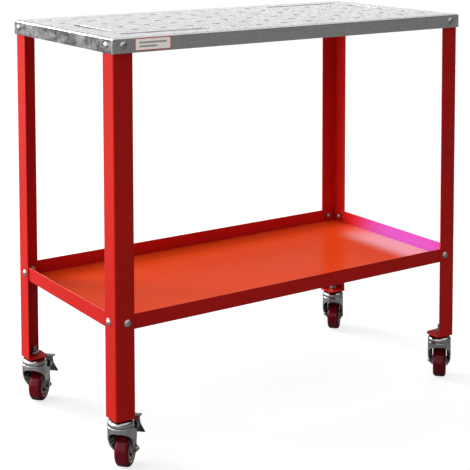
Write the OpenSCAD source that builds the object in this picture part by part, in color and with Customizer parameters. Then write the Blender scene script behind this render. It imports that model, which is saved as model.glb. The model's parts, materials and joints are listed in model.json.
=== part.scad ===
// Rolling welding table: folded galvanised work surface with a fixture hole grid,
// four angle legs, a bolted shelf tray and four swivel casters, two of them braked.
// Millimetres. Origin: centre of the work surface. +X along the length, +Z up.

/* [Table] */
// Length of the work surface along X
table_l = 915; // [600:5:1500]
// Depth of the work surface along Y
table_d = 457; // [350:1:900]
// Height of the work surface above the floor
table_h = 880; // [700:5:1000]

/* [Work surface] */
// Sheet thickness of the work surface
top_t = 3; // [1.5:0.5:8]
// Height of the folded skirt, top face to lower edge
skirt_h = 31; // [20:1:60]
// Outside radius of the skirt bends
top_bend_r = 4.5; // [4:0.5:10]
// Spacing of the fixture holes in both directions
grid_pitch = 66.7; // [40:0.1:100]
// Fixture hole columns along X
grid_cols = 13; // [9:2:21]
// Fixture hole rows along Y
grid_rows = 6; // [4:2:10]
// Diameter of a fixture hole, and width of a clamp slot
fixture_d = 16; // [10:0.5:20]
// Grid columns taken up by each long slot
long_slot_cols = 4; // [2:1:6]
// Grid rows taken up by each short slot
short_slot_rows = 3; // [2:1:4]

/* [Legs] */
// Flange width of the leg angle
leg_w = 43; // [30:1:60]
// Sheet thickness of the leg angle
leg_t = 2.5; // [1.5:0.5:5]
// Outside radius of the leg's bend
leg_bend_r = 3.5; // [3:0.5:8]
// Gap between the leg's upper end and the underside of the sheet
leg_top_gap = 2; // [1.5:0.5:10]
// Height of the leg's lower end above the floor
foot_z = 114; // [80:1:160]
// Reach of the foot plate from the leg's outer corner
foot_w = 47; // [40:1:60]
// Thickness of the foot plate
foot_t = 3; // [2:0.5:6]
// Radius of the foot plate's inner corner
foot_r = 12; // [2:1:20]

/* [Shelf] */
// Height of the tray's underside above the floor
shelf_z = 295; // [200:5:600]
// Height of the upturned lips
shelf_lip_h = 32; // [15:1:60]
// Sheet thickness of the tray
shelf_t = 1.5; // [0.8:0.1:3]
// Outside radius of the tray's bends
shelf_bend_r = 3; // [2:0.5:6]
// Side of the square relief cut at each tray corner
shelf_relief = 4; // [3:0.5:10]

/* [Fasteners] */
// Diameter of the frame bolts
bolt_d = 8; // [5:1:10]
// Diameter of the domed bolt heads
bolt_head_d = 16; // [10:0.5:20]
// Height of the domed bolt heads
bolt_head_h = 4.6; // [3:0.1:7]
// Width across flats of the frame nuts
nut_af = 13; // [8:0.5:17]
// Height of the frame nuts
nut_h = 6.5; // [4:0.5:8]
// Thread left standing out of a nut
bolt_stick_out = 2.5; // [0:0.5:6]
// Radial clearance of the bolt holes
hole_clear = 0.25; // [0.1:0.05:0.6]
// Distance of the skirt bolts from the table's corner
top_bolt_inset = 25; // [15:1:40]
// Distance of the shelf bolts from the leg's outer corner
shelf_bolt_inset = 28; // [15:1:32]

/* [Label plate] */
// Length of the blank label plate
label_l = 82; // [40:1:120]
// Height of the blank label plate
label_h = 25; // [15:1:28]
// Thickness of the label plate
label_t = 0.5; // [0.3:0.1:1.5]
// Distance of the label plate from the table's corner
label_inset = 50; // [35:1:100]

/* [Caster swivel] */
// Distance of the swivel axis from the leg's outer faces
swivel_inset = 22.5; // [16:0.5:30]
// Distance of the wheel axle behind the swivel axis
trail = 32.5; // [20:0.5:45]
// Direction of the trailing wheels in the rest position
trail_angle = 45; // [0:5:355]
// Diameter of the threaded stem
stem_d = 10; // [8:1:14]
// Height of the stem's tip above the leg's lower end
stem_rise = 23; // [15:1:40]
// Width across flats of the stem nut
stem_nut_af = 17; // [13:1:22]
// Height of the stem nut
stem_nut_h = 8.4; // [6:0.2:12]
// Diameter of the swivel head
head_d = 54; // [45:1:70]
// Sheet thickness of the fork
fork_t = 2.5; // [2:0.1:4]
// Diameter of the kingpin
kingpin_d = 12; // [8:1:16]
// Balls in the upper race
upper_balls = 14; // [8:1:18]
// Balls in the lower race
lower_balls = 10; // [6:1:14]
// Running clearance of pins and races
run_clear = 0.05; // [0.02:0.01:0.1]

/* [Caster wheel] */
// Diameter of the wheel
wheel_d = 75; // [60:1:100]
// Width of the tread
wheel_w = 30; // [20:1:32]
// Radial thickness of the tread
tread_t = 8; // [8:0.5:12]
// Shoulder radius of the tread
tread_r = 7.5; // [2:0.5:7.5]
// Clear distance between the fork cheeks
cheek_gap = 34; // [32:0.5:35]
// Diameter of the axle bolt
axle_d = 8; // [6:1:12]
// Outside diameter of the axle sleeve
sleeve_d = 12; // [10:0.5:16]

/* [Brake] */
// Height of the pedal's pivot above the floor
pivot_z = 81; // [78:0.5:84]
// Distance of the pedal's pivot behind the swivel axis
pivot_x = 45; // [42:0.5:48]
// Diameter of the pivot pin
pivot_d = 6; // [4:0.5:8]
// Half width of the pedal's upper tab
pedal_half_w = 22.5; // [20:0.5:26]

/* [Hidden] */
$fn = 48;
eps = 1;                                  // overshoot of cutting tools
galv = [0.74, 0.76, 0.77];
zinc = [0.62, 0.64, 0.66];
dark_zinc = [0.45, 0.46, 0.48];
red = [0.72, 0.06, 0.07];
tray_red = [0.86, 0.17, 0.08];
maroon = [0.32, 0.02, 0.07];
hub_grey = [0.25, 0.25, 0.26];

leg_x = table_l / 2 - top_t;              // the legs' outer faces, against the skirts
leg_y = table_d / 2 - top_t;
leg_top_z = -top_t - leg_top_gap;
leg_bottom_z = foot_z - table_h;
axis_x = leg_x - swivel_inset;            // swivel axes
axis_y = leg_y - swivel_inset;
tray_l = 2 * (leg_x - leg_t);
tray_d = 2 * (leg_y - leg_t);
tray_bottom_z = shelf_z - table_h;
skirt_bolt_z = -skirt_h / 2;
shelf_bolt_z = tray_bottom_z + shelf_lip_h / 2;
top_bolt_x = table_l / 2 - top_bolt_inset;
top_bolt_y = table_d / 2 - top_bolt_inset;
shelf_bolt_x = leg_x - shelf_bolt_inset;
shelf_bolt_y = leg_y - shelf_bolt_inset;
grid_x0 = (grid_cols - 1) / 2 * grid_pitch;
grid_y0 = (grid_rows - 1) / 2 * grid_pitch;

head_r = head_d / 2;
kingpin_r = kingpin_d / 2;
stem_r = stem_d / 2;
collar_z = foot_z - 3;                    // stem collar between the leg and the upper cap
cap_skirt_z = foot_z - 13.8;
fork_top_z = foot_z - 15;
fork_plate_z = fork_top_z - fork_t;
fork_skirt_z = fork_top_z - 10;
upper_ball_r = 3;
upper_ring_r = 19;
upper_ball_z = fork_top_z + 2.6;
lower_ball_r = 2.5;
lower_ring_r = 13;
lower_ball_z = fork_plate_z - 2.1;
lower_race_top = lower_ball_z - 2.1;
lower_race_bottom = lower_race_top - 3.3;
wheel_r = wheel_d / 2;
core_r = wheel_r - tread_t;
axle_r = axle_d / 2;
axle_bore_r = axle_r + run_clear;
cheek_in = cheek_gap / 2;
cheek_out = cheek_in + fork_t;
boss_r = 11;
flat_x = 22;                              // the cheeks run parallel behind this
flank = atan2(cheek_out, flat_x) + acos(head_r / norm([flat_x, cheek_out]));
cam_arm = 9;                              // brake cam's offset from the pivot
cam_r = 6.6;
cam_lean = -16;
pivot_r = pivot_d / 2;
pivot_bore_r = pivot_r + run_clear;
tab_z = pivot_z + 9.5;                    // underside of the pedal's upper tab
wall_in = cheek_out + 0.75;               // pedal side walls, outside the cheeks
wall_t = pedal_half_w - wall_in;

function corners() = [[-1, -1], [1, -1], [-1, 1], [1, 1]];

// ---------- shared shapes ----------

// Profile in the x-z plane, swept w wide about y = 0
module along_y(w) {
    rotate([90, 0, 0])
        linear_extrude(height = w, center = true)
            children();
}

// Profile in the y-z plane, swept w long about x = 0
module along_x(w) {
    rotate([90, 0, 90])
        linear_extrude(height = w, center = true)
            children();
}

// Rectangle below the axis with both upper corners rounded
module arch(w, h, r) {
    translate([-w / 2, -h])
        square([w, h - r]);
    translate([-w / 2 + r, -r])
        square([w - 2 * r, r]);
    for (s = [-1, 1])
        translate([s * (w / 2 - r), -r])
            circle(r);
}

// Block whose four upper edges are rounded like sheet bends
module folded_block(l, d, h, r) {
    intersection() {
        along_y(d)
            arch(l, h, r);
        along_x(l)
            arch(d, h, r);
    }
}

// Sheet box open at the bottom
module folded_sheet(l, d, h, r, t) {
    difference() {
        folded_block(l, d, h, r);
        translate([0, 0, -t])
            folded_block(l - 2 * t, d - 2 * t, h, r - t);
    }
}

module slot_2d(run, w) {
    square([run, w], center = true);
    for (s = [-1, 1])
        translate([s * run / 2, 0])
            circle(d = w);
}

// Low dome standing on z = 0
module dome(d, h) {
    ball_r = (d * d / 4 + h * h) / (2 * h);
    intersection() {
        translate([0, 0, h - ball_r])
            sphere(ball_r);
        cylinder(d = d, h = h);
    }
}

module hex(af, h) {
    cylinder(d = af / cos(30), h = h, $fn = 6);
}

// Bolt with its head above z = 0 and its shank below
module dome_bolt(grip) {
    color(zinc) {
        dome(bolt_head_d, bolt_head_h);
        translate([0, 0, -grip])
            cylinder(d = bolt_d, h = grip);
    }
}

module hex_nut(af, h, d) {
    color(zinc)
        difference() {
            hex(af, h);
            translate([0, 0, -eps])
                cylinder(d = d, h = h + 2 * eps);
        }
}

// Places children at a corner with their z axis pointing out through the long side
module facing_y(sx, sy, x, y, z) {
    translate([sx * x, sy * y, z])
        rotate([-sy * 90, 0, 0])
            children();
}

// The same through the short side
module facing_x(sx, sy, x, y, z) {
    translate([sx * x, sy * y, z])
        rotate([0, sx * 90, 0])
            children();
}

// ---------- work surface ----------

module clamp_slots() {
    long_run = (long_slot_cols - 1) * grid_pitch;
    short_run = (short_slot_rows - 1) * grid_pitch;
    for (s = [-1, 1]) {
        translate([s * (grid_x0 - long_run / 2), s * grid_y0, -top_t - eps])
            linear_extrude(height = top_t + 2 * eps)
                slot_2d(long_run, fixture_d);
        translate([s * grid_x0, s * (grid_y0 - grid_pitch - short_run / 2), -top_t - eps])
            linear_extrude(height = top_t + 2 * eps)
                rotate(90)
                    slot_2d(short_run, fixture_d);
    }
}

// A grid position is left out where a slot runs over it
function in_long_slot(i, j) =
    (j == 0 && i < long_slot_cols) || (j == grid_rows - 1 && i >= grid_cols - long_slot_cols);
function in_short_slot(i, j) =
    (i == 0 && j >= 1 && j <= short_slot_rows)
    || (i == grid_cols - 1 && j <= grid_rows - 2 && j >= grid_rows - 1 - short_slot_rows);

module fixture_holes() {
    for (i = [0 : grid_cols - 1], j = [0 : grid_rows - 1])
        if (!in_long_slot(i, j) && !in_short_slot(i, j))
            translate([i * grid_pitch - grid_x0, j * grid_pitch - grid_y0, -top_t - eps])
                cylinder(d = fixture_d, h = top_t + 2 * eps);
}

module table_top() {
    color(galv)
        difference() {
            folded_sheet(table_l, table_d, skirt_h, top_bend_r, top_t);
            fixture_holes();
            clamp_slots();
            for (c = corners()) {
                facing_y(c[0], c[1], top_bolt_x, table_d / 2 - top_t - eps, skirt_bolt_z)
                    cylinder(r = bolt_d / 2 + hole_clear, h = top_t + 2 * eps);
                facing_x(c[0], c[1], table_l / 2 - top_t - eps, top_bolt_y, skirt_bolt_z)
                    cylinder(r = bolt_d / 2 + hole_clear, h = top_t + 2 * eps);
            }
        }
}

module top_bolts() {
    grip = top_t + leg_t + nut_h + bolt_stick_out;
    for (c = corners()) {
        facing_y(c[0], c[1], top_bolt_x, table_d / 2, skirt_bolt_z)
            dome_bolt(grip);
        facing_x(c[0], c[1], table_l / 2, top_bolt_y, skirt_bolt_z)
            dome_bolt(grip);
    }
}

module top_nuts() {
    for (c = corners()) {
        facing_y(c[0], c[1], top_bolt_x, leg_y - leg_t - nut_h, skirt_bolt_z)
            hex_nut(nut_af, nut_h, bolt_d);
        facing_x(c[0], c[1], leg_x - leg_t - nut_h, top_bolt_y, skirt_bolt_z)
            hex_nut(nut_af, nut_h, bolt_d);
    }
}

module label_plate() {
    color([0.9, 0.9, 0.88])
        translate([
            -table_l / 2 + label_inset,
            -table_d / 2 - label_t,
            skirt_bolt_z - label_h / 2
        ])
            cube([label_l, label_t, label_h]);
}

// ---------- legs ----------

// Angle section with its outer corner at the origin, flanges along +x and +y
module angle_2d() {
    inner_r = leg_bend_r - leg_t;
    translate([leg_bend_r, 0])
        square([leg_w - leg_bend_r, leg_t]);
    translate([0, leg_bend_r])
        square([leg_t, leg_w - leg_bend_r]);
    translate([leg_bend_r, leg_bend_r])
        difference() {
            intersection() {
                circle(leg_bend_r);
                translate([-leg_bend_r, -leg_bend_r])
                    square(leg_bend_r);
            }
            circle(inner_r);
        }
}

module leg(sx, sy) {
    hole_r = bolt_d / 2 + hole_clear;
    color(red)
        difference() {
            translate([sx * leg_x, sy * leg_y, leg_bottom_z])
                mirror([sx > 0 ? 1 : 0, 0, 0])
                    mirror([0, sy > 0 ? 1 : 0, 0])
                        linear_extrude(height = leg_top_z - leg_bottom_z)
                            angle_2d();
            for (z = [skirt_bolt_z, shelf_bolt_z]) {
                x = z == skirt_bolt_z ? top_bolt_x : shelf_bolt_x;
                y = z == skirt_bolt_z ? top_bolt_y : shelf_bolt_y;
                facing_y(sx, sy, x, leg_y - leg_t - eps, z)
                    cylinder(r = hole_r, h = leg_t + 2 * eps);
                facing_x(sx, sy, leg_x - leg_t - eps, y, z)
                    cylinder(r = hole_r, h = leg_t + 2 * eps);
            }
        }
}

// Plate welded inside the lower end of each leg, drilled for the caster stem
module foot_plates() {
    w = foot_w - leg_t;
    notch = leg_bend_r - leg_t;
    color(red)
        for (c = corners())
            translate([c[0] * (leg_x - leg_t), c[1] * (leg_y - leg_t), leg_bottom_z])
                difference() {
                    mirror([c[0] > 0 ? 1 : 0, 0, 0])
                        mirror([0, c[1] > 0 ? 1 : 0, 0])
                            linear_extrude(height = foot_t)
                                difference() {
                                    union() {
                                        square([w, w - foot_r]);
                                        square([w - foot_r, w]);
                                        translate([w - foot_r, w - foot_r])
                                            circle(foot_r);
                                    }
                                    square(2 * notch, center = true);
                                }
                    translate([
                        -c[0] * (swivel_inset - leg_t),
                        -c[1] * (swivel_inset - leg_t),
                        -eps
                    ])
                        cylinder(r = stem_r + hole_clear, h = foot_t + 2 * eps);
                }
}

// ---------- shelf ----------

module shelf_tray() {
    hole_r = bolt_d / 2 + hole_clear;
    color(tray_red)
        difference() {
            translate([0, 0, tray_bottom_z])
                mirror([0, 0, 1])
                    folded_sheet(tray_l, tray_d, shelf_lip_h, shelf_bend_r, shelf_t);
            for (c = corners()) {
                translate([c[0] * tray_l / 2, c[1] * tray_d / 2, tray_bottom_z])
                    cube([2 * shelf_relief, 2 * shelf_relief, 3 * shelf_lip_h], center = true);
                facing_y(c[0], c[1], shelf_bolt_x, tray_d / 2 - shelf_t - eps, shelf_bolt_z)
                    cylinder(r = hole_r, h = shelf_t + 2 * eps);
                facing_x(c[0], c[1], tray_l / 2 - shelf_t - eps, shelf_bolt_y, shelf_bolt_z)
                    cylinder(r = hole_r, h = shelf_t + 2 * eps);
            }
        }
}

module shelf_bolts() {
    grip = leg_t + shelf_t + nut_h + bolt_stick_out;
    for (c = corners()) {
        facing_y(c[0], c[1], shelf_bolt_x, leg_y, shelf_bolt_z)
            dome_bolt(grip);
        facing_x(c[0], c[1], leg_x, shelf_bolt_y, shelf_bolt_z)
            dome_bolt(grip);
    }
}

module shelf_nuts() {
    for (c = corners()) {
        facing_y(c[0], c[1], shelf_bolt_x, tray_d / 2 - shelf_t - nut_h, shelf_bolt_z)
            hex_nut(nut_af, nut_h, bolt_d);
        facing_x(c[0], c[1], tray_l / 2 - shelf_t - nut_h, shelf_bolt_y, shelf_bolt_z)
            hex_nut(nut_af, nut_h, bolt_d);
    }
}

// ---------- casters: local frame on the floor under the swivel axis, wheel trailing along +x ----------

module at_caster(sx, sy) {
    translate([sx * axis_x, sy * axis_y, -table_h])
        rotate([0, 0, trail_angle])
            children();
}

// Threaded stem, collar, kingpin and riveted lower end in one turned piece
module stem() {
    color(zinc) {
        translate([0, 0, foot_z])
            cylinder(r = stem_r, h = stem_rise - 1);
        translate([0, 0, foot_z + stem_rise - 1])
            cylinder(r1 = stem_r, r2 = stem_r - 1, h = 1);
        translate([0, 0, collar_z])
            cylinder(r = 9, h = foot_z - collar_z);
        translate([0, 0, lower_race_bottom])
            cylinder(r = kingpin_r, h = collar_z - lower_race_bottom);
        translate([0, 0, lower_race_bottom - 3.4])
            cylinder(r1 = 7, r2 = 9.5, h = 3.4);
    }
}

module caster_stems() {
    for (c = corners())
        at_caster(c[0], c[1])
            stem();
}

module stem_nuts() {
    for (c = corners())
        at_caster(c[0], c[1])
            translate([0, 0, foot_z + foot_t])
                hex_nut(stem_nut_af, stem_nut_h, stem_d);
}

// Domed cap with the upper ball groove, fixed on the kingpin
module race_cap() {
    inside_z = upper_ball_z + 2.6;
    shoulder_r = collar_z - inside_z + 0.2;
    color(zinc)
        rotate_extrude()
            difference() {
                union() {
                    translate([kingpin_r, inside_z])
                        square([head_r - shoulder_r - kingpin_r, collar_z - inside_z]);
                    translate([head_r - shoulder_r, cap_skirt_z])
                        square([shoulder_r, collar_z - shoulder_r - cap_skirt_z]);
                    translate([head_r - shoulder_r, collar_z - shoulder_r])
                        intersection() {
                            circle(shoulder_r);
                            square(shoulder_r);
                        }
                }
                translate([0, cap_skirt_z - eps])
                    square([head_r - 2.4, inside_z - cap_skirt_z + eps]);
                translate([upper_ring_r, upper_ball_z])
                    circle(upper_ball_r + run_clear);
            }
}

module lower_race() {
    color(dark_zinc)
        rotate_extrude()
            difference() {
                translate([kingpin_r, lower_race_bottom])
                    square([16.5 - kingpin_r, lower_race_top - lower_race_bottom]);
                translate([lower_ring_r, lower_ball_z])
                    circle(lower_ball_r + run_clear);
            }
}

// Two rings of balls between the fork's head and the fixed races
module balls() {
    color(dark_zinc) {
        for (i = [0 : upper_balls - 1])
            rotate([0, 0, i * 360 / upper_balls])
                translate([upper_ring_r, 0, upper_ball_z])
                    sphere(upper_ball_r);
        for (i = [0 : lower_balls - 1])
            rotate([0, 0, i * 360 / lower_balls])
                translate([lower_ring_r, 0, lower_ball_z])
                    sphere(lower_ball_r);
    }
}

// Plan outline of the fork: round head drawn in to parallel cheeks
module fork_plan(r, half) {
    circle(r);
    polygon([
        [r * cos(flank), r * sin(flank)],
        [flat_x, half],
        [80, half],
        [80, -half],
        [flat_x, -half],
        [r * cos(flank), -r * sin(flank)]
    ]);
}

// Side view of the cheeks: cut back in front of the wheel, boss at the axle, ear at the pivot.
// The slope at the front also shapes the arch over the wheel, where it cuts the round wall.
module cheek_side(brake) {
    translate([trail, wheel_r])
        circle(boss_r);
    polygon([
        [-head_r, fork_skirt_z + 1],
        [-21, 86],
        [-12, 78],
        [-2, 66],
        [6, 52],
        [17, 37],
        [trail - 9, wheel_r - 6],
        [trail + boss_r, wheel_r],
        brake ? [49, 52] : [43.5, 45],
        brake ? [53, 78] : [38, 82],
        brake ? [42, 88.5] : [28, 93],
        [19, fork_plate_z + 1],
        [-head_r, fork_plate_z + 1]
    ]);
    if (brake)
        translate([pivot_x, pivot_z])
            circle(8);
}

module fork(brake) {
    color(zinc)
        difference() {
            union() {
                rotate_extrude() {
                    translate([0, fork_plate_z])
                        square([head_r - fork_t, fork_t]);
                    translate([head_r - fork_t, fork_skirt_z])
                        square([fork_t, fork_plate_z - fork_skirt_z]);
                    translate([head_r - fork_t, fork_plate_z])
                        intersection() {
                            circle(fork_t);
                            square(fork_t);
                        }
                }
                intersection() {
                    translate([0, 0, wheel_r - boss_r])
                        linear_extrude(height = fork_plate_z - wheel_r + boss_r + 1)
                            difference() {
                                fork_plan(head_r, cheek_out);
                                fork_plan(head_r - fork_t, cheek_in);
                            }
                    along_y(3 * head_r)
                        cheek_side(brake);
                }
            }
            translate([0, 0, fork_plate_z - eps])
                cylinder(r = kingpin_r + run_clear, h = fork_t + 2 * eps);
            rotate_extrude()
                translate([upper_ring_r, upper_ball_z])
                    circle(upper_ball_r + run_clear);
            rotate_extrude()
                translate([lower_ring_r, lower_ball_z])
                    circle(lower_ball_r + run_clear);
            translate([trail, 0, wheel_r])
                rotate([90, 0, 0])
                    cylinder(r = axle_bore_r, h = 3 * head_r, center = true);
            if (brake)
                translate([pivot_x, 0, pivot_z])
                    rotate([90, 0, 0])
                        cylinder(r = pivot_bore_r, h = 3 * head_r, center = true);
        }
}

// Spacer tube clamped between the cheeks, on which the wheel turns
module sleeve() {
    color(zinc)
        translate([trail, 0, wheel_r])
            rotate([90, 0, 0])
                difference() {
                    cylinder(d = sleeve_d, h = cheek_gap, center = true);
                    cylinder(r = axle_bore_r, h = cheek_gap + 2 * eps, center = true);
                }
}

// side is the side of the nut: -1 for -y, +1 for +y
module axle(side) {
    color(zinc)
        translate([trail, 0, wheel_r])
            rotate([side * 90, 0, 0]) {
                translate([0, 0, cheek_out])
                    dome(14, 5);
                translate([0, 0, -cheek_out - 7.5])
                    cylinder(r = axle_r, h = 2 * cheek_out + 7.5);
            }
}

// Closed domed nut
module axle_nut(side) {
    color(zinc)
        translate([trail, 0, wheel_r])
            rotate([-side * 90, 0, 0])
                translate([0, 0, cheek_out])
                    difference() {
                        union() {
                            hex(nut_af, 4.8);
                            translate([0, 0, 5])
                                sphere(4.8);
                        }
                        translate([0, 0, -eps])
                            cylinder(r = axle_r, h = 7.5 + eps);
                    }
}

// Moulded wheel centre: hub on the sleeve, web, raised ring and rim
module core() {
    color(hub_grey)
        translate([trail, 0, wheel_r])
            rotate([90, 0, 0])
                rotate_extrude() {
                    bore = sleeve_d / 2 + run_clear;
                    translate([bore, -cheek_gap / 2 + 0.5])
                        square([11 - bore, cheek_gap - 1]);
                    translate([bore, -6])
                        square([core_r - bore, 12]);
                    translate([17.8, -wheel_w / 2 + 2])
                        square([3.2, wheel_w - 4]);
                    translate([24.8, -wheel_w / 2 + 1])
                        square([core_r - 24.8, wheel_w - 2]);
                }
}

module tread() {
    color(maroon)
        translate([trail, 0, wheel_r])
            rotate([90, 0, 0])
                rotate_extrude() {
                    half = wheel_w / 2;
                    translate([core_r, -half])
                        square([tread_t - tread_r, wheel_w]);
                    translate([wheel_r - tread_r, -half + tread_r])
                        square([tread_r, wheel_w - 2 * tread_r]);
                    for (s = [-1, 1])
                        translate([wheel_r - tread_r, s * (half - tread_r)])
                            intersection() {
                                circle(tread_r);
                                translate([0, s > 0 ? 0 : -tread_r])
                                    square(tread_r);
                            }
                }
}

// ---------- brake ----------

// Stamped pedal: side walls on the pivot pin, upper tab to press, lower tab to release
module pedal() {
    tab_x = pivot_x - 6.5;                // the tab starts behind the slope of the cheeks
    color(dark_zinc)
        difference() {
            union() {
                for (s = [-1, 1])
                    translate([0, s * (wall_in + wall_t / 2), 0])
                        along_y(wall_t) {
                            translate([pivot_x, pivot_z])
                                circle(7);
                            polygon([
                                [tab_x, tab_z + 0.5],
                                [tab_x, pivot_z - 2.5],
                                [49, pivot_z - 6],
                                [60, 73],
                                [65, tab_z - 14],
                                [62, tab_z + 0.5]
                            ]);
                        }
                along_y(2 * pedal_half_w)
                    polygon([
                        [tab_x, tab_z],
                        [62, tab_z],
                        [80, tab_z - 2],
                        [80, tab_z + 0.3],
                        [62, tab_z + 2.5],
                        [tab_x, tab_z + 2.5]
                    ]);
                intersection() {
                    along_y(60)
                        polygon([
                            [59, tab_z + 0.5],
                            [61.5, tab_z + 0.5],
                            [66, 76],
                            [87.5, 50],
                            [85.5, 48.5],
                            [63.5, 75]
                        ]);
                    linear_extrude(height = foot_z)
                        polygon([
                            [50, -pedal_half_w],
                            [64, -pedal_half_w],
                            [90, -27],
                            [90, 27],
                            [64, pedal_half_w],
                            [50, pedal_half_w]
                        ]);
                }
            }
            translate([pivot_x, 0, pivot_z])
                rotate([90, 0, 0])
                    cylinder(r = pivot_bore_r, h = 3 * head_r, center = true);
        }
}

// Cam between the cheeks that the pedal swings down onto the tread
module shoe() {
    cam_x = pivot_x + cam_arm * cos(cam_lean);
    cam_z = pivot_z + cam_arm * sin(cam_lean);
    color(dark_zinc)
        along_y(2 * cheek_in - 6)
            difference() {
                union() {
                    translate([pivot_x, pivot_z])
                        circle(6.4);
                    translate([cam_x, cam_z])
                        circle(cam_r);
                    translate([cam_x - 5, cam_z])
                        square([10, tab_z - cam_z]);
                }
                translate([pivot_x, pivot_z])
                    circle(pivot_bore_r);
            }
}

module pivot_pin() {
    color(zinc)
        translate([pivot_x, 0, pivot_z])
            rotate([90, 0, 0]) {
                cylinder(r = pivot_r, h = 2 * pedal_half_w + 1, center = true);
                for (s = [-1, 1])
                    translate([0, 0, s * (pedal_half_w + 1)])
                        cylinder(r = pivot_r + 2, h = 1.5, center = true);
            }
}

table_top();
label_plate();
top_bolts();
top_nuts();
leg(-1, -1);  // leg_fl
leg(1, -1);  // leg_fr
leg(-1, 1);  // leg_rl
leg(1, 1);  // leg_rr
foot_plates();
shelf_tray();
shelf_bolts();
shelf_nuts();
caster_stems();
stem_nuts();
at_caster(-1, -1) race_cap();  // cap_fl
at_caster(-1, -1) lower_race();  // lower_race_fl
at_caster(-1, -1) fork(true);  // fork_fl
at_caster(-1, -1) balls();  // balls_fl
at_caster(-1, -1) sleeve();  // sleeve_fl
at_caster(-1, -1) axle(-1);  // axle_fl
at_caster(-1, -1) axle_nut(-1);  // axle_nut_fl
at_caster(-1, -1) core();  // core_fl
at_caster(-1, -1) tread();  // tread_fl
at_caster(1, -1) race_cap();  // cap_fr
at_caster(1, -1) lower_race();  // lower_race_fr
at_caster(1, -1) fork(false);  // fork_fr
at_caster(1, -1) balls();  // balls_fr
at_caster(1, -1) sleeve();  // sleeve_fr
at_caster(1, -1) axle(1);  // axle_fr
at_caster(1, -1) axle_nut(1);  // axle_nut_fr
at_caster(1, -1) core();  // core_fr
at_caster(1, -1) tread();  // tread_fr
at_caster(-1, 1) race_cap();  // cap_rl
at_caster(-1, 1) lower_race();  // lower_race_rl
at_caster(-1, 1) fork(true);  // fork_rl
at_caster(-1, 1) balls();  // balls_rl
at_caster(-1, 1) sleeve();  // sleeve_rl
at_caster(-1, 1) axle(-1);  // axle_rl
at_caster(-1, 1) axle_nut(-1);  // axle_nut_rl
at_caster(-1, 1) core();  // core_rl
at_caster(-1, 1) tread();  // tread_rl
at_caster(1, 1) race_cap();  // cap_rr
at_caster(1, 1) lower_race();  // lower_race_rr
at_caster(1, 1) fork(false);  // fork_rr
at_caster(1, 1) balls();  // balls_rr
at_caster(1, 1) sleeve();  // sleeve_rr
at_caster(1, 1) axle(1);  // axle_rr
at_caster(1, 1) axle_nut(1);  // axle_nut_rr
at_caster(1, 1) core();  // core_rr
at_caster(1, 1) tread();  // tread_rr
at_caster(-1, -1) pedal();  // pedal_fl
at_caster(-1, -1) shoe();  // shoe_fl
at_caster(-1, -1) pivot_pin();  // pivot_pin_fl
at_caster(-1, 1) pedal();  // pedal_rl
at_caster(-1, 1) shoe();  // shoe_rl
at_caster(-1, 1) pivot_pin();  // pivot_pin_rl
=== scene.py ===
"""Looks of the rolling welding table: materials, screws, weld beads, studio and camera around the fixed CAD frame."""
import json
import math

import bmesh
import bpy
from mathutils import Matrix, Vector


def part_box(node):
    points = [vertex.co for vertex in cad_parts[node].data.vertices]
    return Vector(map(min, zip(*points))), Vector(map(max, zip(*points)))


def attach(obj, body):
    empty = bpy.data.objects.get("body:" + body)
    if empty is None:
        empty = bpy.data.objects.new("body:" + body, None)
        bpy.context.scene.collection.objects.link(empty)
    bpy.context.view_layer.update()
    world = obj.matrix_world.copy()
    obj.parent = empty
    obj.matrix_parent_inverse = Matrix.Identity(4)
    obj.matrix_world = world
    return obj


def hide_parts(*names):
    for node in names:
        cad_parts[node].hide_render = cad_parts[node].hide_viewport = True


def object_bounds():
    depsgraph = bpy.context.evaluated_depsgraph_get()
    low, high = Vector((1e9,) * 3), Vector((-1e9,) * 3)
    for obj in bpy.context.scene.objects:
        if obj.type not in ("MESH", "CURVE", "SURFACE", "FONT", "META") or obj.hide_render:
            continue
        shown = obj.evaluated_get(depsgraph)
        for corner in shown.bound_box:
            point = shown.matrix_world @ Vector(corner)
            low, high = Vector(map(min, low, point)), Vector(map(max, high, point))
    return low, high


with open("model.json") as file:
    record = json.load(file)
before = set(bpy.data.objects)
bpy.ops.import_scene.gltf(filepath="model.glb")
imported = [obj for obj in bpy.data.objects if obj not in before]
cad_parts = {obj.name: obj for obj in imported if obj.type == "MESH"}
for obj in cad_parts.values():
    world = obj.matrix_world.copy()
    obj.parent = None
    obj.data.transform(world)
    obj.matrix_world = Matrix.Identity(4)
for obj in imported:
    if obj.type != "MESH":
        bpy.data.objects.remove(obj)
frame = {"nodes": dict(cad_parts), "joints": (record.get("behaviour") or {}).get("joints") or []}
cad_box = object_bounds()

MM = 0.001
CORNERS = ("fl", "fr", "rl", "rr")
BRAKED = ("fl", "rl")
cad_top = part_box("table_top")
JOINTS = {joint["name"]: joint for joint in frame["joints"]}

# Screws and nuts, in millimetres
M8_PITCH = 1.25
M10_PITCH = 1.5
THREAD_DEPTH = 0.61               # of one pitch
NUT_CHAMFER = math.radians(30)
M8_RADIUS = 4
BOLT_HEAD = 4.6
STEM_RADIUS = 5
STEM_LENGTH = 23                  # from the collar to the tip
STEM_NUT_FLATS = 17
STEM_NUT_TURN = 45                # degrees from +X to the first corner
COLLAR_RADIUS = 9
COLLAR_HEIGHT = 3
KINGPIN_RADIUS = 6
RIVET_HEIGHT = 3.4
RIVET_RADII = (7, 9.5)

# Powder coat
POWDER_SPECULAR = 0.10
POWDER_ROUGHNESS = 0.36
POWDER_COAT = 0.06
FLOOR_ROUGHNESS = 0.29            # of the tray's floor
FLOOR_COAT = 0.32

# Galvanised sheet
SEAM_WIDTH = 4 * MM
# End faces: the mottling is the sheet's own, their darkness is painted shade
END_DARK = (0.22, 0.225, 0.235)
END_LIGHT = (0.66, 0.66, 0.67)

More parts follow.
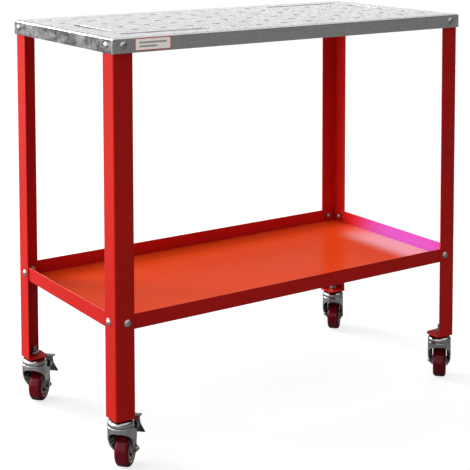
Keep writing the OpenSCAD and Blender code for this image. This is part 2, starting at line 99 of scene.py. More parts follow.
# Camera of the reference view: place in metres, angles in degrees, and the lens
CAMERA_PLACE = Vector((-1.6016, -2.3449, 0.2676))
CAMERA_YAW = 33.55
CAMERA_PITCH = 4.25
CAMERA_ROLL = 0.12
CAMERA_LENS = 95.7
CAMERA_SHIFT = (0.0229, -0.5170)


# ---------- node graph helpers ----------

def new_material(name):
    """A material with an empty graph around one Principled shader."""
    material = bpy.data.materials.new(name)
    material.use_nodes = True
    tree = material.node_tree
    tree.nodes.clear()
    output = tree.nodes.new("ShaderNodeOutputMaterial")
    surface = tree.nodes.new("ShaderNodeBsdfPrincipled")
    tree.links.new(surface.outputs[0], output.inputs[0])
    return material, tree, surface


def put(tree, socket, value):
    """Sets a socket to a value, or links it when the value is itself a socket."""
    if isinstance(value, bpy.types.NodeSocket):
        tree.links.new(value, socket)
    elif socket.type == "RGBA" and len(value) == 3:
        socket.default_value = (*value, 1)
    else:
        socket.default_value = value


def node(tree, kind, inputs, output=0, **settings):
    """Adds a shader node and returns one of its outputs; inputs maps socket names to values or sockets."""
    made = tree.nodes.new("ShaderNode" + kind)
    for key, value in settings.items():
        setattr(made, key, value)
    for key, value in inputs.items():
        put(tree, made.inputs[key], value)
    return made.outputs[output]


def finish_of(tree, surface, **inputs):
    """Sets the Principled shader's inputs, with underscores for the spaces in their names."""
    for key, value in inputs.items():
        put(tree, surface.inputs[key.replace("_", " ")], value)


def place_of(tree):
    """The point on the piece at rest, in metres; it stays with the piece when its body moves."""
    return node(tree, "TexCoord", {}, "Object")


def split(tree, vector):
    """The three parts of a vector."""
    made = tree.nodes.new("ShaderNodeSeparateXYZ")
    tree.links.new(vector, made.inputs[0])
    return tuple(made.outputs)


def calc(tree, operation, *values, clamp=False):
    return node(tree, "Math", dict(enumerate(values)), operation=operation, use_clamp=clamp)


def stretched(tree, vector, factors):
    return node(tree, "VectorMath", {0: vector, 1: factors}, operation="MULTIPLY")


def noise(tree, vector, scale, detail=3.0, roughness=0.5, distortion=0.0):
    inputs = {"Vector": vector, "Scale": scale, "Detail": detail, "Roughness": roughness, "Distortion": distortion}
    return node(tree, "TexNoise", inputs)


def ramp(tree, value, low, high, to_low=0.0, to_high=1.0):
    """Maps low..high of a value to to_low..to_high, smoothly and clamped."""
    inputs = {"Value": value, "From Min": low, "From Max": high, "To Min": to_low, "To Max": to_high}
    return node(tree, "MapRange", inputs, interpolation_type="SMOOTHSTEP")


def blend_colour(tree, factor, first, second):
    made = tree.nodes.new("ShaderNodeMix")
    made.data_type = "RGBA"
    put(tree, made.inputs[0], factor)
    put(tree, made.inputs[6], first)
    put(tree, made.inputs[7], second)
    return made.outputs[2]


def bump(tree, height, distance, normal, strength=1.0):
    return node(tree, "Bump", {"Height": height, "Distance": distance, "Strength": strength, "Normal": normal})


def rounded_normal(tree, radius):
    return node(tree, "Bevel", {"Radius": radius}, samples=4)


def edge_mask(tree, rounded, gain=8.0):
    """Near 1 on a sharp edge and 0 on a flat; rounded is the normal from rounded_normal."""
    flat = node(tree, "NewGeometry", {}, "Normal")
    agreement = node(tree, "VectorMath", {0: rounded, 1: flat}, "Value", operation="DOT_PRODUCT")
    return calc(tree, "MULTIPLY", calc(tree, "SUBTRACT", 1.0, agreement), gain, clamp=True)


def openness(tree, distance):
    """1 where the surface is open, towards 0 in corners and recesses."""
    return node(tree, "AmbientOcclusion", {"Distance": distance}, "AO", samples=4)


# ---------- materials ----------

def galvanised():
    """Hot-dip galvanised sheet: faint zinc spangle, rolling streaks, bright ground corner seams and mottled ends.
    The ends are painted darker as painted shade, and the top is painted paler than the skirts as a painted sheen.
    """
    material, tree, surface = new_material("galvanised_sheet")
    place = place_of(tree)
    rounded = rounded_normal(tree, 0.8 * MM)
    edge = edge_mask(tree, rounded)
    facing_x, _, facing_z = split(tree, node(tree, "NewGeometry", {}, "Normal"))
    # painted light: faces towards the ends take a darker mottled colour (painted shade), faces looking up a paler one
    # (painted sheen)
    ends = ramp(tree, calc(tree, "ABSOLUTE", facing_x), 0.5, 0.9)
    upper = ramp(tree, facing_z, 0.5, 0.9)
    spangle = split(tree, node(tree, "TexVoronoi", {"Vector": place, "Scale": 130.0, "Randomness": 1.0}, "Color"))[0]
    streaks = noise(tree, stretched(tree, place, (3.0, 60.0, 60.0)), 4.0, 5.0, 0.6)
    smears = noise(tree, stretched(tree, place, (1.0, 0.7, 2.0)), 15.0, 4.0, 0.6, 0.8)
    upright = noise(tree, stretched(tree, place, (1.0, 22.0, 3.0)), 3.0, 3.0, 0.55)
    patches = calc(tree, "ADD", calc(tree, "MULTIPLY", smears, 0.85), calc(tree, "MULTIPLY", upright, 0.15))
    sheet_tone = ramp(tree, calc(tree, "ADD", calc(tree, "MULTIPLY", streaks, 0.7),
                                 calc(tree, "MULTIPLY", spangle, 0.3)), 0.1, 0.9)
    skirt = blend_colour(tree, sheet_tone, (0.74, 0.74, 0.75), (0.90, 0.90, 0.91))
    top = blend_colour(tree, sheet_tone, (0.80, 0.80, 0.81), (0.90, 0.90, 0.91))
    end = blend_colour(tree, ramp(tree, patches, 0.38, 0.62), END_DARK, END_LIGHT)
    colour = blend_colour(tree, ends, blend_colour(tree, upper, skirt, top), end)
    seam = corner_seam(tree, place)
    colour = blend_colour(tree, calc(tree, "MAXIMUM", edge, seam), colour, (0.93, 0.93, 0.93))
    scratches = noise(tree, stretched(tree, place, (8.0, 220.0, 220.0)), 6.0, 2.0)
    rough = calc(tree, "ADD", ramp(tree, spangle, 0.0, 1.0, 0.20, 0.26), ramp(tree, scratches, 0.45, 0.7, 0.0, 0.10))
    height = calc(tree, "ADD", calc(tree, "MULTIPLY", spangle, 0.3), calc(tree, "MULTIPLY", scratches, 0.5))
    finish_of(tree, surface, Base_Color=colour, Metallic=0.92, Roughness=rough,
              Normal=bump(tree, height, 0.04 * MM, rounded, 0.4))
    return material


def corner_seam(tree, place):
    """1 along the four upright corners of the table, where the folded skirts are welded and ground."""
    masks = []
    for value, half in zip(split(tree, place), (cad_top[1].x, cad_top[1].y)):
        masks.append(ramp(tree, calc(tree, "ABSOLUTE", value), half - SEAM_WIDTH, half - 0.6 * SEAM_WIDTH))
    return calc(tree, "MULTIPLY", *masks)


def powder_coat(name, light, dark, floor=None):
    """Powder coat: orange peel, slow colour drift, a thinner brighter film on edges, a few chips down to the steel,
    and painted shade that darkens corners and recesses.
    A face that looks up takes the floor colour, a brighter, warmer red that is painted light,
    and is smoother and glossier, as if polished."""
    material, tree, surface = new_material(name)
    place = place_of(tree)
    rounded = rounded_normal(tree, 0.9 * MM)
    edge = edge_mask(tree, rounded)
    drift = ramp(tree, noise(tree, place, 3.0, 2.0, 0.5), 0.25, 0.75)
    grain = noise(tree, place, 1400.0, 1.0)
    peel = noise(tree, place, 420.0, 2.0)
    colour = blend_colour(tree, drift, dark, light)
    roughness, coat = POWDER_ROUGHNESS, POWDER_COAT
    if floor:
        # painted light: faces looking up take a brighter, warmer red than the sides
        facing_up = ramp(tree, split(tree, node(tree, "NewGeometry", {}, "Normal"))[2], 0.6, 0.95)
        colour = blend_colour(tree, facing_up, colour, floor)
        roughness = ramp(tree, facing_up, 0.0, 1.0, POWDER_ROUGHNESS, FLOOR_ROUGHNESS)
        coat = ramp(tree, facing_up, 0.0, 1.0, POWDER_COAT, FLOOR_COAT)
    colour = blend_colour(tree, calc(tree, "MULTIPLY", ramp(tree, grain, 0.4, 0.75), 0.12), colour, dark)
    worn = tuple(min(1.0, 1.25 * c + 0.008) for c in light)
    colour = blend_colour(tree, calc(tree, "MULTIPLY", edge, 0.55), colour, worn)
    chips = calc(tree, "MULTIPLY", edge, ramp(tree, noise(tree, place, 160.0, 2.0), 0.71, 0.74), clamp=True)
    colour = blend_colour(tree, chips, colour, (0.30, 0.29, 0.28))
    # painted shade: corners and recesses are darkened towards a quarter of the dark colour
    painted_corner_shade = calc(tree, "SUBTRACT", 1.0, openness(tree, 12 * MM), clamp=True)
    colour = blend_colour(tree, calc(tree, "MULTIPLY", painted_corner_shade, 0.35), colour, tuple(0.25 * c for c in dark))
    handled = ramp(tree, noise(tree, place, 22.0, 4.0, 0.6), 0.3, 0.7, 0.0, 0.05)
    rough = calc(tree, "ADD", calc(tree, "ADD", roughness, handled), calc(tree, "MULTIPLY", chips, 0.2))
    skin = bump(tree, peel, 0.02 * MM, rounded, 0.5)
    finish_of(tree, surface, Base_Color=colour, Roughness=rough, Metallic=calc(tree, "MULTIPLY", chips, 0.8),
              Specular_IOR_Level=POWDER_SPECULAR, Coat_Weight=coat, Coat_Roughness=0.06, Normal=skin, Coat_Normal=skin)
    return material


def zinc_plate(name, light, dark, roughness, stain=0.25):
    """Electroplated zinc: bright edges, faint passivation tint, handling smears, and painted shade that darkens the
    recesses.
    """
    material, tree, surface = new_material(name)
    place = place_of(tree)
    rounded = rounded_normal(tree, 0.45 * MM)
    edge = edge_mask(tree, rounded)
    smears = noise(tree, place, 40.0, 3.0, 0.5, 0.3)
    fine = noise(tree, stretched(tree, place, (1.0, 1.0, 3.5)), 700.0, 2.0)
    colour = blend_colour(tree, ramp(tree, smears, 0.34, 0.66), dark, light)
    tint = ramp(tree, noise(tree, place, 90.0, 2.0), 0.45, 0.75, 0.0, stain)
    colour = blend_colour(tree, tint, colour, tuple(c * f for c, f in zip(light, (0.97, 0.93, 0.78))))
    # painted shade: faces close to other parts are darkened towards near black
    painted_recess_shade = ramp(tree, openness(tree, 8 * MM), 0.30, 0.95, 0.92, 0.0)
    colour = blend_colour(tree, painted_recess_shade, colour, tuple(0.22 * c for c in dark))
    colour = blend_colour(tree, calc(tree, "MULTIPLY", edge, 0.6), colour, (0.88, 0.89, 0.90))
    rough = calc(tree, "ADD", roughness, ramp(tree, smears, 0.4, 0.7, 0.0, 0.07))
    finish_of(tree, surface, Base_Color=colour, Metallic=1.0, Roughness=rough,
              Normal=bump(tree, fine, 0.03 * MM, rounded, 0.5))
    return material


def from_axle(tree, corner):
    """Distance from a wheel's axle, and the distance along it, in metres."""
    joint = JOINTS["wheel_spin_" + corner]
    centred = node(tree, "VectorMath", {0: place_of(tree), 1: tuple(joint["pos_m"])}, operation="SUBTRACT")
    axis = tuple(joint["axis"])
    along = node(tree, "VectorMath", {0: centred, 1: axis}, "Value", operation="DOT_PRODUCT")
    total = node(tree, "VectorMath", {0: centred}, "Value", operation="LENGTH")
    squared = calc(tree, "SUBTRACT", calc(tree, "MULTIPLY", total, total), calc(tree, "MULTIPLY", along, along))
    return calc(tree, "SQRT", squared), along


def tread_rubber(corner):
    """Maroon polyurethane: glossy skin, mould seam, scuffed and soiled running band, and a near-black painted shadow
    where other parts close over the tread.
    """
    material, tree, surface = new_material("tread_" + corner)
    place = place_of(tree)
    radius, along = from_axle(tree, corner)
    band = calc(tree, "MULTIPLY", ramp(tree, radius, 0.0368, 0.0374),
                ramp(tree, noise(tree, place, 120.0, 4.0, 0.65), 0.42, 0.68))
    cloud = ramp(tree, noise(tree, place, 30.0, 2.0), 0.3, 0.7)
    colour = blend_colour(tree, cloud, (0.120, 0.0008, 0.006), (0.200, 0.0014, 0.010))
    colour = blend_colour(tree, calc(tree, "MULTIPLY", band, 0.08), colour, (0.16, 0.055, 0.06))
    shadow = ramp(tree, openness(tree, 25 * MM), 0.25, 0.85, 0.85, 0.0)
    colour = blend_colour(tree, shadow, colour, (0.008, 0.0005, 0.001))
    seam = ramp(tree, calc(tree, "ABSOLUTE", along), 0.1 * MM, 0.45 * MM, 1.0, 0.0)
    grain = noise(tree, place, 900.0, 2.0)
    height = calc(tree, "ADD", seam, calc(tree, "MULTIPLY", grain, 0.12))
    normal = bump(tree, height, 0.12 * MM, rounded_normal(tree, 0.5 * MM), 0.8)
    rough = calc(tree, "ADD", 0.16, calc(tree, "MULTIPLY", band, 0.10))
    finish_of(tree, surface, Base_Color=colour, Roughness=rough, Specular_IOR_Level=0.12, Coat_Weight=0.28,
              Coat_Roughness=0.08, Subsurface_Weight=0.08, Subsurface_Radius=(0.004, 0.0006, 0.0006), Subsurface_Scale=1.0,
              Normal=normal)
    return material


def hub_plastic(corner):
    """Moulded wheel centre: pale raised rings, recesses painted near black as painted shade, fine mould grain."""
    material, tree, surface = new_material("hub_" + corner)
    place = place_of(tree)
    _, along = from_axle(tree, corner)
    # painted shade: all of the hub nearer the wheel's middle plane than the raised rings is painted near black
    raised = ramp(tree, calc(tree, "ABSOLUTE", along), 11.0 * MM, 12.6 * MM)
    shade = ramp(tree, noise(tree, place, 60.0, 3.0), 0.3, 0.7)
    pale = blend_colour(tree, shade, (0.68, 0.61, 0.55), (0.84, 0.77, 0.70))
    dark = blend_colour(tree, shade, (0.020, 0.018, 0.017), (0.040, 0.036, 0.033))
    colour = blend_colour(tree, raised, dark, pale)
    # painted shade: corners close to other parts darken further towards black
    painted_hollow_shade = ramp(tree, openness(tree, 4 * MM), 0.2, 0.7, 0.6, 0.0)
    colour = blend_colour(tree, painted_hollow_shade, colour, (0.02, 0.018, 0.016))
    rounded = rounded_normal(tree, 0.4 * MM)
    grain = noise(tree, place, 1100.0, 2.0)
    finish_of(tree, surface, Base_Color=colour, Roughness=ramp(tree, shade, 0.0, 1.0, 0.42, 0.55),
              Normal=bump(tree, grain, 0.04 * MM, rounded, 0.5))
    return material


def label_print():
    """Blank foil label: pale ground, thin red border and two plain grey rules, slightly soiled."""
    material, tree, surface = new_material("label_print")
    low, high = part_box("label_plate")
    place = place_of(tree)
    across, _, up = split(tree, place)

    def inside(value, first, second, soft=0.15 * MM):
        return calc(tree, "MULTIPLY", ramp(tree, value, first - soft, first + soft),
                    ramp(tree, value, second - soft, second + soft, 1.0, 0.0))

    border = 1.6 * MM
    field = calc(tree, "MULTIPLY", inside(across, low.x + border, high.x - border),
                 inside(up, low.z + border, high.z - border))
    width, height = high.x - low.x, high.z - low.z
    rules = 0.0
    for start, end, level in ((0.12, 0.88, 0.64), (0.12, 0.60, 0.34)):
        bar = calc(tree, "MULTIPLY", inside(across, low.x + start * width, low.x + end * width),
                   inside(up, low.z + (level - 0.07) * height, low.z + (level + 0.07) * height))
        rules = calc(tree, "ADD", rules, bar, clamp=True)
    soil = ramp(tree, noise(tree, place, 140.0, 4.0, 0.6), 0.4, 0.75)
    ground = blend_colour(tree, soil, (0.92, 0.86, 0.80), (0.80, 0.73, 0.66))
    colour = blend_colour(tree, field, (0.55, 0.035, 0.02), ground)
    colour = blend_colour(tree, rules, colour, (0.30, 0.29, 0.28))
    grain = noise(tree, place, 600.0, 2.0)
    finish_of(tree, surface, Base_Color=colour, Roughness=ramp(tree, soil, 0.0, 1.0, 0.32, 0.5), Coat_Weight=0.3,
              Coat_Roughness=0.2, Normal=bump(tree, grain, 0.02 * MM, rounded_normal(tree, 0.2 * MM), 0.5))
    return material


# ---------- where the CAD solids are ----------

def solids(name):
    """Boxes (low, high) of the separate solids of a CAD node, in metres."""
    mesh = bmesh.new()
    mesh.from_mesh(frame["nodes"][name].data)
    bmesh.ops.remove_doubles(mesh, verts=mesh.verts, dist=0.001 * MM)
    unseen = set(mesh.verts)
    boxes = []
    for start in mesh.verts:
        if start not in unseen:
            continue
        unseen.discard(start)
        waiting = [start]
        low, high = start.co.copy(), start.co.copy()
        while waiting:
            vertex = waiting.pop()
            low = Vector(map(min, low, vertex.co))
            high = Vector(map(max, high, vertex.co))
            for edge in vertex.link_edges:
                other = edge.other_vert(vertex)
                if other in unseen:
                    unseen.discard(other)
                    waiting.append(other)
        boxes.append((low, high))
    mesh.free()
    return boxes


def axes_place(origin, outward, across):
    """A placement with local z along outward and local x along across."""
    turn = Matrix((across, outward.cross(across), outward)).transposed()
    return Matrix.Translation(origin) @ turn.to_4x4()


def pointing(box):
    """Which way a frame screw or nut points out of the table: the axis number and the direction.
    Those through the ends are the farther out along X."""
    middle = (box[0] + box[1]) / 2
    reach = [abs(middle[way]) / half for way, half in ((0, cad_box[1].x), (1, -cad_box[0].y))]
    way = 0 if reach[0] > reach[1] else 1
    outward = Vector((0, 0, 0))
    outward[way] = math.copysign(1, middle[way])
    return way, outward


# ---------- turned and hexagonal pieces ----------

def turned(mesh, place, rings, segments=32, closed=False):
    """Adds a turned solid from rings of (height, radius) in millimetres, in order along its outline.
    Either may be a function of the angle. A radius of 0 is a single point; closed joins the last ring to the first."""
    made = []
    for height, radius in rings:
        ring = []
        for k in range(1 if radius == 0 else segments):
            angle = 2 * math.pi * k / segments
            r = radius(angle) if callable(radius) else radius
            z = height(angle) if callable(height) else height
            ring.append(mesh.verts.new(place @ (MM * Vector((r * math.cos(angle), r * math.sin(angle), z)))))
        made.append(ring)
    pairs = list(zip(made, made[1:]))
    if closed:
        pairs.append((made[-1], made[0]))
    for lower, upper in pairs:
        for k in range(segments):
            after = (k + 1) % segments
            outline = [lower[k % len(lower)], lower[after % len(lower)],
                       upper[after % len(upper)], upper[k % len(upper)]]
            mesh.faces.new(list(dict.fromkeys(outline)))


def thread(low, high, radius, pitch, tip_low=False, tip_high=False):
    """Rings of a screw thread between two heights, with a chamfer at either tip."""
    steps_per_turn = 6
    root = radius - THREAD_DEPTH * pitch
    count = round((high - low) / pitch * steps_per_turn)
    rings = []
    for k in range(count + 1):
        z = low + (high - low) * k / count
        limit = radius
        if tip_low:
            limit = min(limit, root + (z - low))
        if tip_high:
            limit = min(limit, root + (high - z))

        def crest(angle, z=z, limit=limit):
            phase = (z / pitch - angle / (2 * math.pi)) % 1
            flank = min(1.0, max(0.0, 1.25 * (1 - abs(2 * phase - 1)) - 0.12))
            return min(limit, root + (radius - root) * flank)
        rings.append((z, crest))
    return rings


def dome_rings(radius, height, steps=7):
    """Rings of a low dome standing on height 0, from its rim to its top."""
    ball = (radius * radius + height * height) / (2 * height)
    rim = math.asin(radius / ball)
    bands = [rim * (1 - k / steps) for k in range(steps)]
    return [(height - ball + ball * math.cos(a), ball * math.sin(a)) for a in bands] + [(height, 0)]


def domed_bolt(mesh, box, shank, head_height, pitch):
    """A domed bolt in the place of its CAD solid; shank is its radius. The thread is on the inner end."""
    way, outward = pointing(box)
    size = (box[1] - box[0]) / MM
    head_radius = size.z / 2
    grip = size[way] - head_height
    under_head = (box[0] + box[1]) / 2 + outward * (size[way] / 2 - head_height) * MM
    thread_end = -0.3 * grip
    rings = [(-grip, 0)] + thread(-grip, thread_end, shank, pitch, tip_low=True)
    rings += [(thread_end, shank), (0, shank), (0, head_radius - 0.4)]
    rings += [(0.3, head_radius)] + dome_rings(head_radius, head_height)[1:]
    turned(mesh, axes_place(under_head, outward, Vector((0, 0, 1))), rings)


def nut_outside(flats, height):
    """The outside of a hexagon nut with chamfered corners, as rings from its lower face to its upper one."""
    face = 0.97 * flats / 2

    def side(angle):
        return flats / 2 / math.cos(angle % (math.pi / 3) - math.pi / 6)

    def lower(angle):
        return (side(angle) - face) * math.tan(NUT_CHAMFER)

    def upper(angle):
        return height - lower(angle)

    return [(0, face), (lower, side), (upper, side), (height, face)]


def hex_nut(mesh, box, bore, flats, height, outward, across):
    """A plain nut in the place of its CAD solid, countersunk at both ends."""
    sink = 0.7
    inside = [(height, bore + sink), (height - sink, bore), (sink, bore), (0, bore + sink)]
    origin = (box[0] + box[1]) / 2 - outward * height / 2 * MM
    turned(mesh, axes_place(origin, outward, across), nut_outside(flats, height) + inside, 48, closed=True)


def frame_nut(mesh, box, bore):
    """A nut behind a frame bolt: its corners lie along the longer side of its box."""
    way, outward = pointing(box)
    size = (box[1] - box[0]) / MM
    across = Vector((0, 0, 1)) if way == 0 else Vector((1, 0, 0))
    hex_nut(mesh, box, bore, min(size.z, size[1 - way]), size[way], outward, across)


def stem_nut(mesh, box):
    size = (box[1] - box[0]) / MM
    turn = math.radians(STEM_NUT_TURN)
    across = Vector((math.cos(turn), math.sin(turn), 0))
    hex_nut(mesh, box, STEM_RADIUS, STEM_NUT_FLATS, size.z, Vector((0, 0, 1)), across)


def stem(mesh, box):
    """Riveted end, kingpin, collar and threaded stem of a caster, in one turned piece."""
    middle = (box[0] + box[1]) / 2
    foot = Vector((middle.x, middle.y, box[0].z))
    tip = (box[1].z - box[0].z) / MM
    collar = tip - STEM_LENGTH
    rings = [(0, 0), (0, RIVET_RADII[0]), (RIVET_HEIGHT, RIVET_RADII[1]), (RIVET_HEIGHT, KINGPIN_RADIUS)]
    rings += [(collar - COLLAR_HEIGHT, KINGPIN_RADIUS), (collar - COLLAR_HEIGHT, COLLAR_RADIUS)]
    rings += [(collar - 0.4, COLLAR_RADIUS), (collar, COLLAR_RADIUS - 0.4), (collar, STEM_RADIUS)]
    rings += thread(collar + 2, tip, STEM_RADIUS, M10_PITCH, tip_high=True) + [(tip, 0)]
    turned(mesh, Matrix.Translation(foot), rings)


def span(name, origin, axis):
    """How far a CAD node reaches along an axis, lowest and highest, in millimetres from origin."""
    reach = [axis.dot(vertex.co - origin) / MM for vertex in frame["nodes"][name].data.vertices]
    return min(reach), max(reach)


def acorn_nut(mesh, corner):
    """Closed domed nut on the axle's end, in the place of its CAD solid."""
    axle = Vector(JOINTS["wheel_spin_" + corner]["axis"])
    centre = Vector(JOINTS["wheel_spin_" + corner]["pos_m"])
    low, high = span("axle_nut_" + corner, centre, axle)
    outward = axle if high > 0 else -axle
    base, tip = sorted((abs(low), abs(high)))
    height = tip - base
    flats = (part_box("axle_nut_" + corner)[1].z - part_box("axle_nut_" + corner)[0].z) / MM
    collar = 0.49 * height
    dome = height - collar
    cap = [(collar + dome * math.sin(math.radians(a)), dome * math.cos(math.radians(a))) for a in range(0, 90, 15)]
    place = axes_place(centre + outward * base * MM, outward, outward.cross(Vector((0, 0, 1))))
    turned(mesh, place, [(0, 0)] + nut_outside(flats, collar) + cap + [(height, 0)], 48)


# ---------- weld beads ----------

def fillet_bead(mesh, start, end, first, second, leg=3.2, ripple=2.4):
    """A weld bead with ripples in the corner between two walls, which run from the line along first and second."""
    length = (end - start).length / MM
    along = (end - start).normalized()
    count = round(length / ripple * 5)
    bands = 7
    previous = None
    for k in range(count + 1):
        travel = length * k / count
        wave = 1 + 0.10 * abs(math.sin(math.pi * travel / ripple)) + 0.05 * math.sin(0.9 * travel)
        taper = min(1.0, 0.35 + travel / 3, 0.35 + (length - travel) / 3)
        size = leg * wave * taper
        lean = 0.5 * abs(math.cos(math.pi * travel / ripple))
        ring = []
        for band in range(bands):
            turn = math.pi / 2 * band / (bands - 1)
            bulge = size * (0.72 + 0.28 * abs(math.cos(2 * turn)))
            offset = first * math.cos(turn) * bulge + second * math.sin(turn) * bulge + along * (travel + lean)
            ring.append(mesh.verts.new(start + offset * MM))
        ring.append(mesh.verts.new(start + (along * travel - (first + second) * 0.3) * MM))
        if previous is None:
            mesh.faces.new(list(reversed(ring)))
        else:
            for i in range(len(ring)):
                after = (i + 1) % len(ring)
                mesh.faces.new([previous[i], previous[after], ring[after], ring[i]])
        previous = ring
    mesh.faces.new(previous)


def foot_beads(mesh):
    """Beads that join each foot plate to its leg's two flanges, on the upper side."""
    up = Vector((0, 0, 1))
    for low, high in solids("foot_plates"):
        sides = [math.copysign(1, low.x + high.x), math.copysign(1, low.y + high.y)]
        corner = Vector((high.x if sides[0] > 0 else low.x, high.y if sides[1] > 0 else low.y, high.z))
        inward = [Vector((-sides[0], 0, 0)), Vector((0, -sides[1], 0))]
        plate = (high.x - low.x) / MM
        for way in (0, 1):
            start = corner + inward[way] * 4 * MM
            end = corner + inward[way] * (plate - 5) * MM
            fillet_bead(mesh, start, end, inward[1 - way], up)


# ---------- making the pieces ----------

SHARP = math.radians(38)


def make_piece(name, body, slot, material, build, *replaced):
    """Builds a mesh piece, gives it its finish, and rides it on a body in place of CAD nodes."""
    mesh = bmesh.new()
    build(mesh)
    bmesh.ops.recalc_face_normals(mesh, faces=mesh.faces)
    for face in mesh.faces:
        face.smooth = True
    for edge in mesh.edges:
        edge.smooth = len(edge.link_faces) == 2 and edge.calc_face_angle(0) < SHARP
    data = bpy.data.meshes.new(name)
    mesh.to_mesh(data)
    mesh.free()
    piece = bpy.data.objects.new(name, data)
    bpy.context.scene.collection.objects.link(piece)
    piece.data.materials.append(material)
    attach(piece, body)
    if replaced:
        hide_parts(*replaced)
    return piece


def each_solid(node_name, build, *settings):
    """A builder that makes one turned piece in the place of every solid of a CAD node."""
    def run(mesh):
        for box in solids(node_name):
            build(mesh, box, *settings)
    return run


def wear(name, material):
    """Makes material the only finish of a CAD node."""
    data = frame["nodes"][name].data
    data.materials.clear()
    data.materials.append(material)
    data.polygons.foreach_set("material_index", [0] * len(data.polygons))


ZINC = zinc_plate("bright_zinc", (0.78, 0.79, 0.80), (0.52, 0.53, 0.55), 0.16)
SCREW_ZINC = zinc_plate("screw_zinc", (0.64, 0.65, 0.66), (0.46, 0.47, 0.48), 0.20)
DARK_ZINC = zinc_plate("dark_zinc", (0.115, 0.12, 0.125), (0.055, 0.058, 0.06), 0.28, 0.1)
RED = powder_coat("red_powder_coat", (0.62, 0.014, 0.010), (0.57, 0.011, 0.008))
# The third colour paints the tray's upward faces a brighter, warmer red: painted light.
TRAY_RED = powder_coat("tray_powder_coat", (0.62, 0.014, 0.010), (0.57, 0.011, 0.008), (0.88, 0.070, 0.008))

wear("table_top", galvanised())
wear("label_plate", label_print())
wear("foot_plates", RED)
wear("shelf_tray", TRAY_RED)
for corner in CORNERS:
    wear("leg_" + corner, RED)
    wear("cap_" + corner, ZINC)
    wear("fork_" + corner, ZINC)
    wear("sleeve_" + corner, ZINC)
    wear("axle_" + corner, SCREW_ZINC)
    wear("lower_race_" + corner, DARK_ZINC)
    wear("balls_" + corner, DARK_ZINC)
    wear("core_" + corner, hub_plastic(corner))
    wear("tread_" + corner, tread_rubber(corner))
for corner in BRAKED:
    wear("pedal_" + corner, DARK_ZINC)
    wear("shoe_" + corner, DARK_ZINC)
    wear("pivot_pin_" + corner, ZINC)

make_piece("skirt_bolts", "frame", "zinc", SCREW_ZINC,
           each_solid("top_bolts", domed_bolt, M8_RADIUS, BOLT_HEAD, M8_PITCH), "top_bolts")
make_piece("tray_bolts", "frame", "zinc", SCREW_ZINC,
           each_solid("shelf_bolts", domed_bolt, M8_RADIUS, BOLT_HEAD, M8_PITCH), "shelf_bolts")
make_piece("skirt_nuts", "frame", "zinc", SCREW_ZINC, each_solid("top_nuts", frame_nut, M8_RADIUS), "top_nuts")
make_piece("tray_nuts", "frame", "zinc", SCREW_ZINC, each_solid("shelf_nuts", frame_nut, M8_RADIUS), "shelf_nuts")
make_piece("threaded_stems", "frame", "zinc", SCREW_ZINC, each_solid("caster_stems", stem), "caster_stems")
make_piece("stem_hex_nuts", "frame", "zinc", SCREW_ZINC, each_solid("stem_nuts", stem_nut), "stem_nuts")
make_piece("foot_weld_beads", "frame", "red_paint", RED, foot_beads)
for corner in CORNERS:
    make_piece("acorn_nut_" + corner, "fork_body_" + corner, "zinc", ZINC,
               lambda mesh, corner=corner: acorn_nut(mesh, corner), "axle_nut_" + corner)


# ---------- studio ----------

FLOOR_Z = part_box("tread_fl")[0].z
FLOOR_REACH = 40.0
FLOOR_GLOW = 0.74                 # light of its own, seen only by the camera
ROOM = 0.15                       # brightness of the room's parts
CEILING = 0.75
LEFT_WALL = 0.85
RIGHT_DIP = 0.07
HORIZON = 1.55


def studio_floor():
    """A wide pale floor. The camera sees it nearly white with faint shadows; to other rays it is a mid grey."""
    mesh = bmesh.new()
    sides = ((-1, -1), (1, -1), (1, 1), (-1, 1))
    mesh.faces.new([mesh.verts.new((x * FLOOR_REACH, y * FLOOR_REACH, FLOOR_Z)) for x, y in sides])
    data = bpy.data.meshes.new("studio_floor")
    mesh.to_mesh(data)
    mesh.free()
    floor = bpy.data.objects.new("studio_floor", data)
    bpy.context.scene.collection.objects.link(floor)
    material, tree, surface = new_material("studio_floor")
    seen = node(tree, "LightPath", {}, "Is Camera Ray")
    finish_of(tree, surface, Base_Color=blend_colour(tree, seen, (0.22, 0.22, 0.22), (0.35, 0.35, 0.35)),
              Roughness=0.9, Specular_IOR_Level=0.0, Emission_Color=(1.0, 1.0, 1.0),
              Emission_Strength=calc(tree, "MULTIPLY", seen, FLOOR_GLOW))
    floor.data.materials.append(material)


def studio_world():
    """Surroundings: white straight ahead of the camera. For light and reflections they are a soft room with a
    bright ceiling and left wall, a bright line along the horizon at the back, and a dim front."""
    world = bpy.data.worlds.new("studio")
    bpy.context.scene.world = world
    world.use_nodes = True
    tree = world.node_tree
    tree.nodes.clear()
    output = tree.nodes.new("ShaderNodeOutputWorld")
    side, back, up = split(tree, node(tree, "TexCoord", {}, "Generated"))
    ceiling = ramp(tree, up, 0.45, 0.80, 0.0, CEILING)
    left = ramp(tree, side, -0.95, -0.1, LEFT_WALL, 0.0)
    right = ramp(tree, side, 0.0, 0.9, 0.0, -RIGHT_DIP)
    horizon = calc(tree, "MULTIPLY", ramp(tree, up, 0.11, 0.19, HORIZON, 0.0), ramp(tree, back, 0.1, 0.5))
    room = ROOM
    for part in (ceiling, left, right, horizon):
        room = calc(tree, "ADD", room, part)
    seen = node(tree, "LightPath", {}, "Is Camera Ray")
    strength = node(tree, "Mix", {0: seen, 2: room, 3: 1.0})
    background = node(tree, "Background", {"Color": (1.0, 1.0, 1.0), "Strength": strength})
    tree.links.new(background, output.inputs[0])


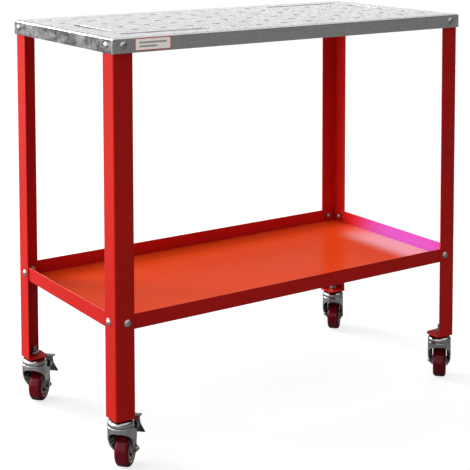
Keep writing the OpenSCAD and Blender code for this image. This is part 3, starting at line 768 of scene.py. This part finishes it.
def soft_box(name, place, target, width, height, power, colour=(1, 1, 1)):
    """A rectangular softbox that faces a point."""
    data = bpy.data.lights.new(name, "AREA")
    data.shape = "RECTANGLE"
    data.size, data.size_y = width, height
    data.energy = power
    data.color = colour
    lamp = bpy.data.objects.new(name, data)
    lamp.location = place
    lamp.rotation_mode = "QUATERNION"
    lamp.rotation_quaternion = (Vector(target) - Vector(place)).to_track_quat("-Z", "Y")
    lamp.visible_camera = False
    bpy.context.scene.collection.objects.link(lamp)
    return lamp


def only_for(lamp, names):
    """Lets a lamp light only some CAD nodes."""
    lit = bpy.data.collections.new(lamp.name + "_lit")
    for name in names:
        lit.objects.link(frame["nodes"][name])
    lamp.light_linking.receiver_collection = lit


def studio_lights():
    """Key from the left, a softbox at the back that reaches in over the tray, and a violet patch on its right end."""
    soft_box("left_softbox", (-3.2, 0.5, 0.7), (0, 0, -0.4), 1.6, 2.2, 22)
    soft_box("back_softbox", (-2.6, 4.4, 1.5), (0, 0, -0.5), 3.0, 1.8, 320)
    glints()
    violet_patch()


def glints():
    """Small cards: one fills the label plate, one leaves a lilac line on the treads."""
    low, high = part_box("label_plate")
    only_for(soft_box("label_card", (low.x - 0.6, low.y - 1.6, 0.1), low, 0.6, 0.6, 10), ["label_plate"])
    only_for(soft_box("tread_card", (-2.8, 1.1, 0.65), (0, 0, FLOOR_Z), 0.30, 0.45, 48, (0.60, 0.40, 1.0)),
             ["tread_" + corner for corner in CORNERS])


def violet_patch():
    """A low violet strip light that falls on the front of the tray's right lip and the floor beside it."""
    low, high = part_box("shelf_tray")
    target = Vector((high.x - 0.010, -0.06, low.z + 0.012))
    strip = soft_box("violet_strip", target + Vector((-0.16, 0, 0.11)), target, 0.28, 0.02, 6.2, (0.0, 0.10, 1.0))
    strip.data.spread = math.radians(50)
    strip.visible_glossy = False
    only_for(strip, ["shelf_tray"])


def reference_camera():
    """The camera of the reference view. Its lens shift holds only while it stands in its own place."""
    data = bpy.data.cameras.new("reference_camera")
    data.lens = CAMERA_LENS
    data.sensor_width = 36
    data.clip_start, data.clip_end = 0.05, 200
    camera = bpy.data.objects.new("reference_camera", data)
    camera.location = CAMERA_PLACE
    turn = Matrix.Rotation(math.radians(-CAMERA_YAW), 4, "Z") @ Matrix.Rotation(math.radians(90 - CAMERA_PITCH), 4, "X")
    turn = turn @ Matrix.Rotation(math.radians(-CAMERA_ROLL), 4, "Z")
    camera.rotation_euler = turn.to_euler()
    bpy.context.scene.collection.objects.link(camera)
    for path, shift in zip(("shift_x", "shift_y"), CAMERA_SHIFT):
        driver = data.driver_add(path).driver
        driver.type = "SCRIPTED"
        variable = driver.variables.new()
        variable.name = "x"
        variable.type = "TRANSFORMS"
        variable.targets[0].id = camera
        variable.targets[0].transform_type = "LOC_X"
        variable.targets[0].transform_space = "WORLD_SPACE"
        driver.expression = f"{shift} if abs(x - {CAMERA_PLACE.x}) < 0.001 else 0"
    bpy.context.scene.camera = camera


studio_floor()
studio_world()
studio_lights()
reference_camera()
bpy.context.scene.view_settings.view_transform = "Standard"
